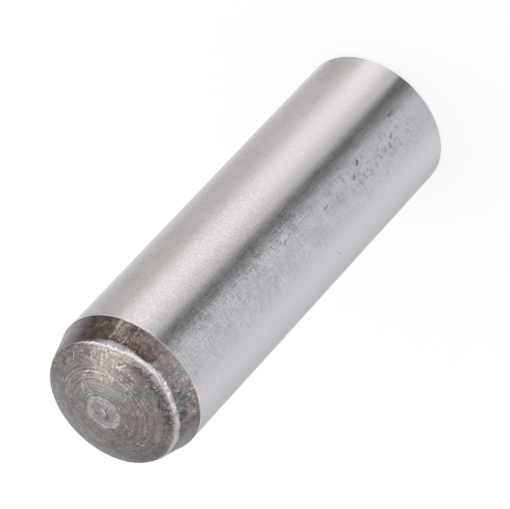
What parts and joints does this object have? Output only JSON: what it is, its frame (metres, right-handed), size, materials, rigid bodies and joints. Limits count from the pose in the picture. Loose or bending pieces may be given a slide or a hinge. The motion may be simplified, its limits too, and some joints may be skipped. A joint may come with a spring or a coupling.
{
  "type": "dowel pin",
  "caption": "Straight ground steel dowel pin with a chamfered, crowned lead end and a plain flat end, for locating and joining drilled parts.",
  "frame": {"origin": "centre of the flat plain end, on the pin's axis", "axes": "+Z along the pin's axis, from the plain end towards the crowned lead end"},
  "size_m": [0.01, 0.01, 0.032],
  "materials": {
    "ground_steel": "ground satin shank, with a darker turned and heat-stained lead end"
  },
  "bodies": {
    "root": {"dowel_pin": "ground_steel"}
  },
  "joints": []
}
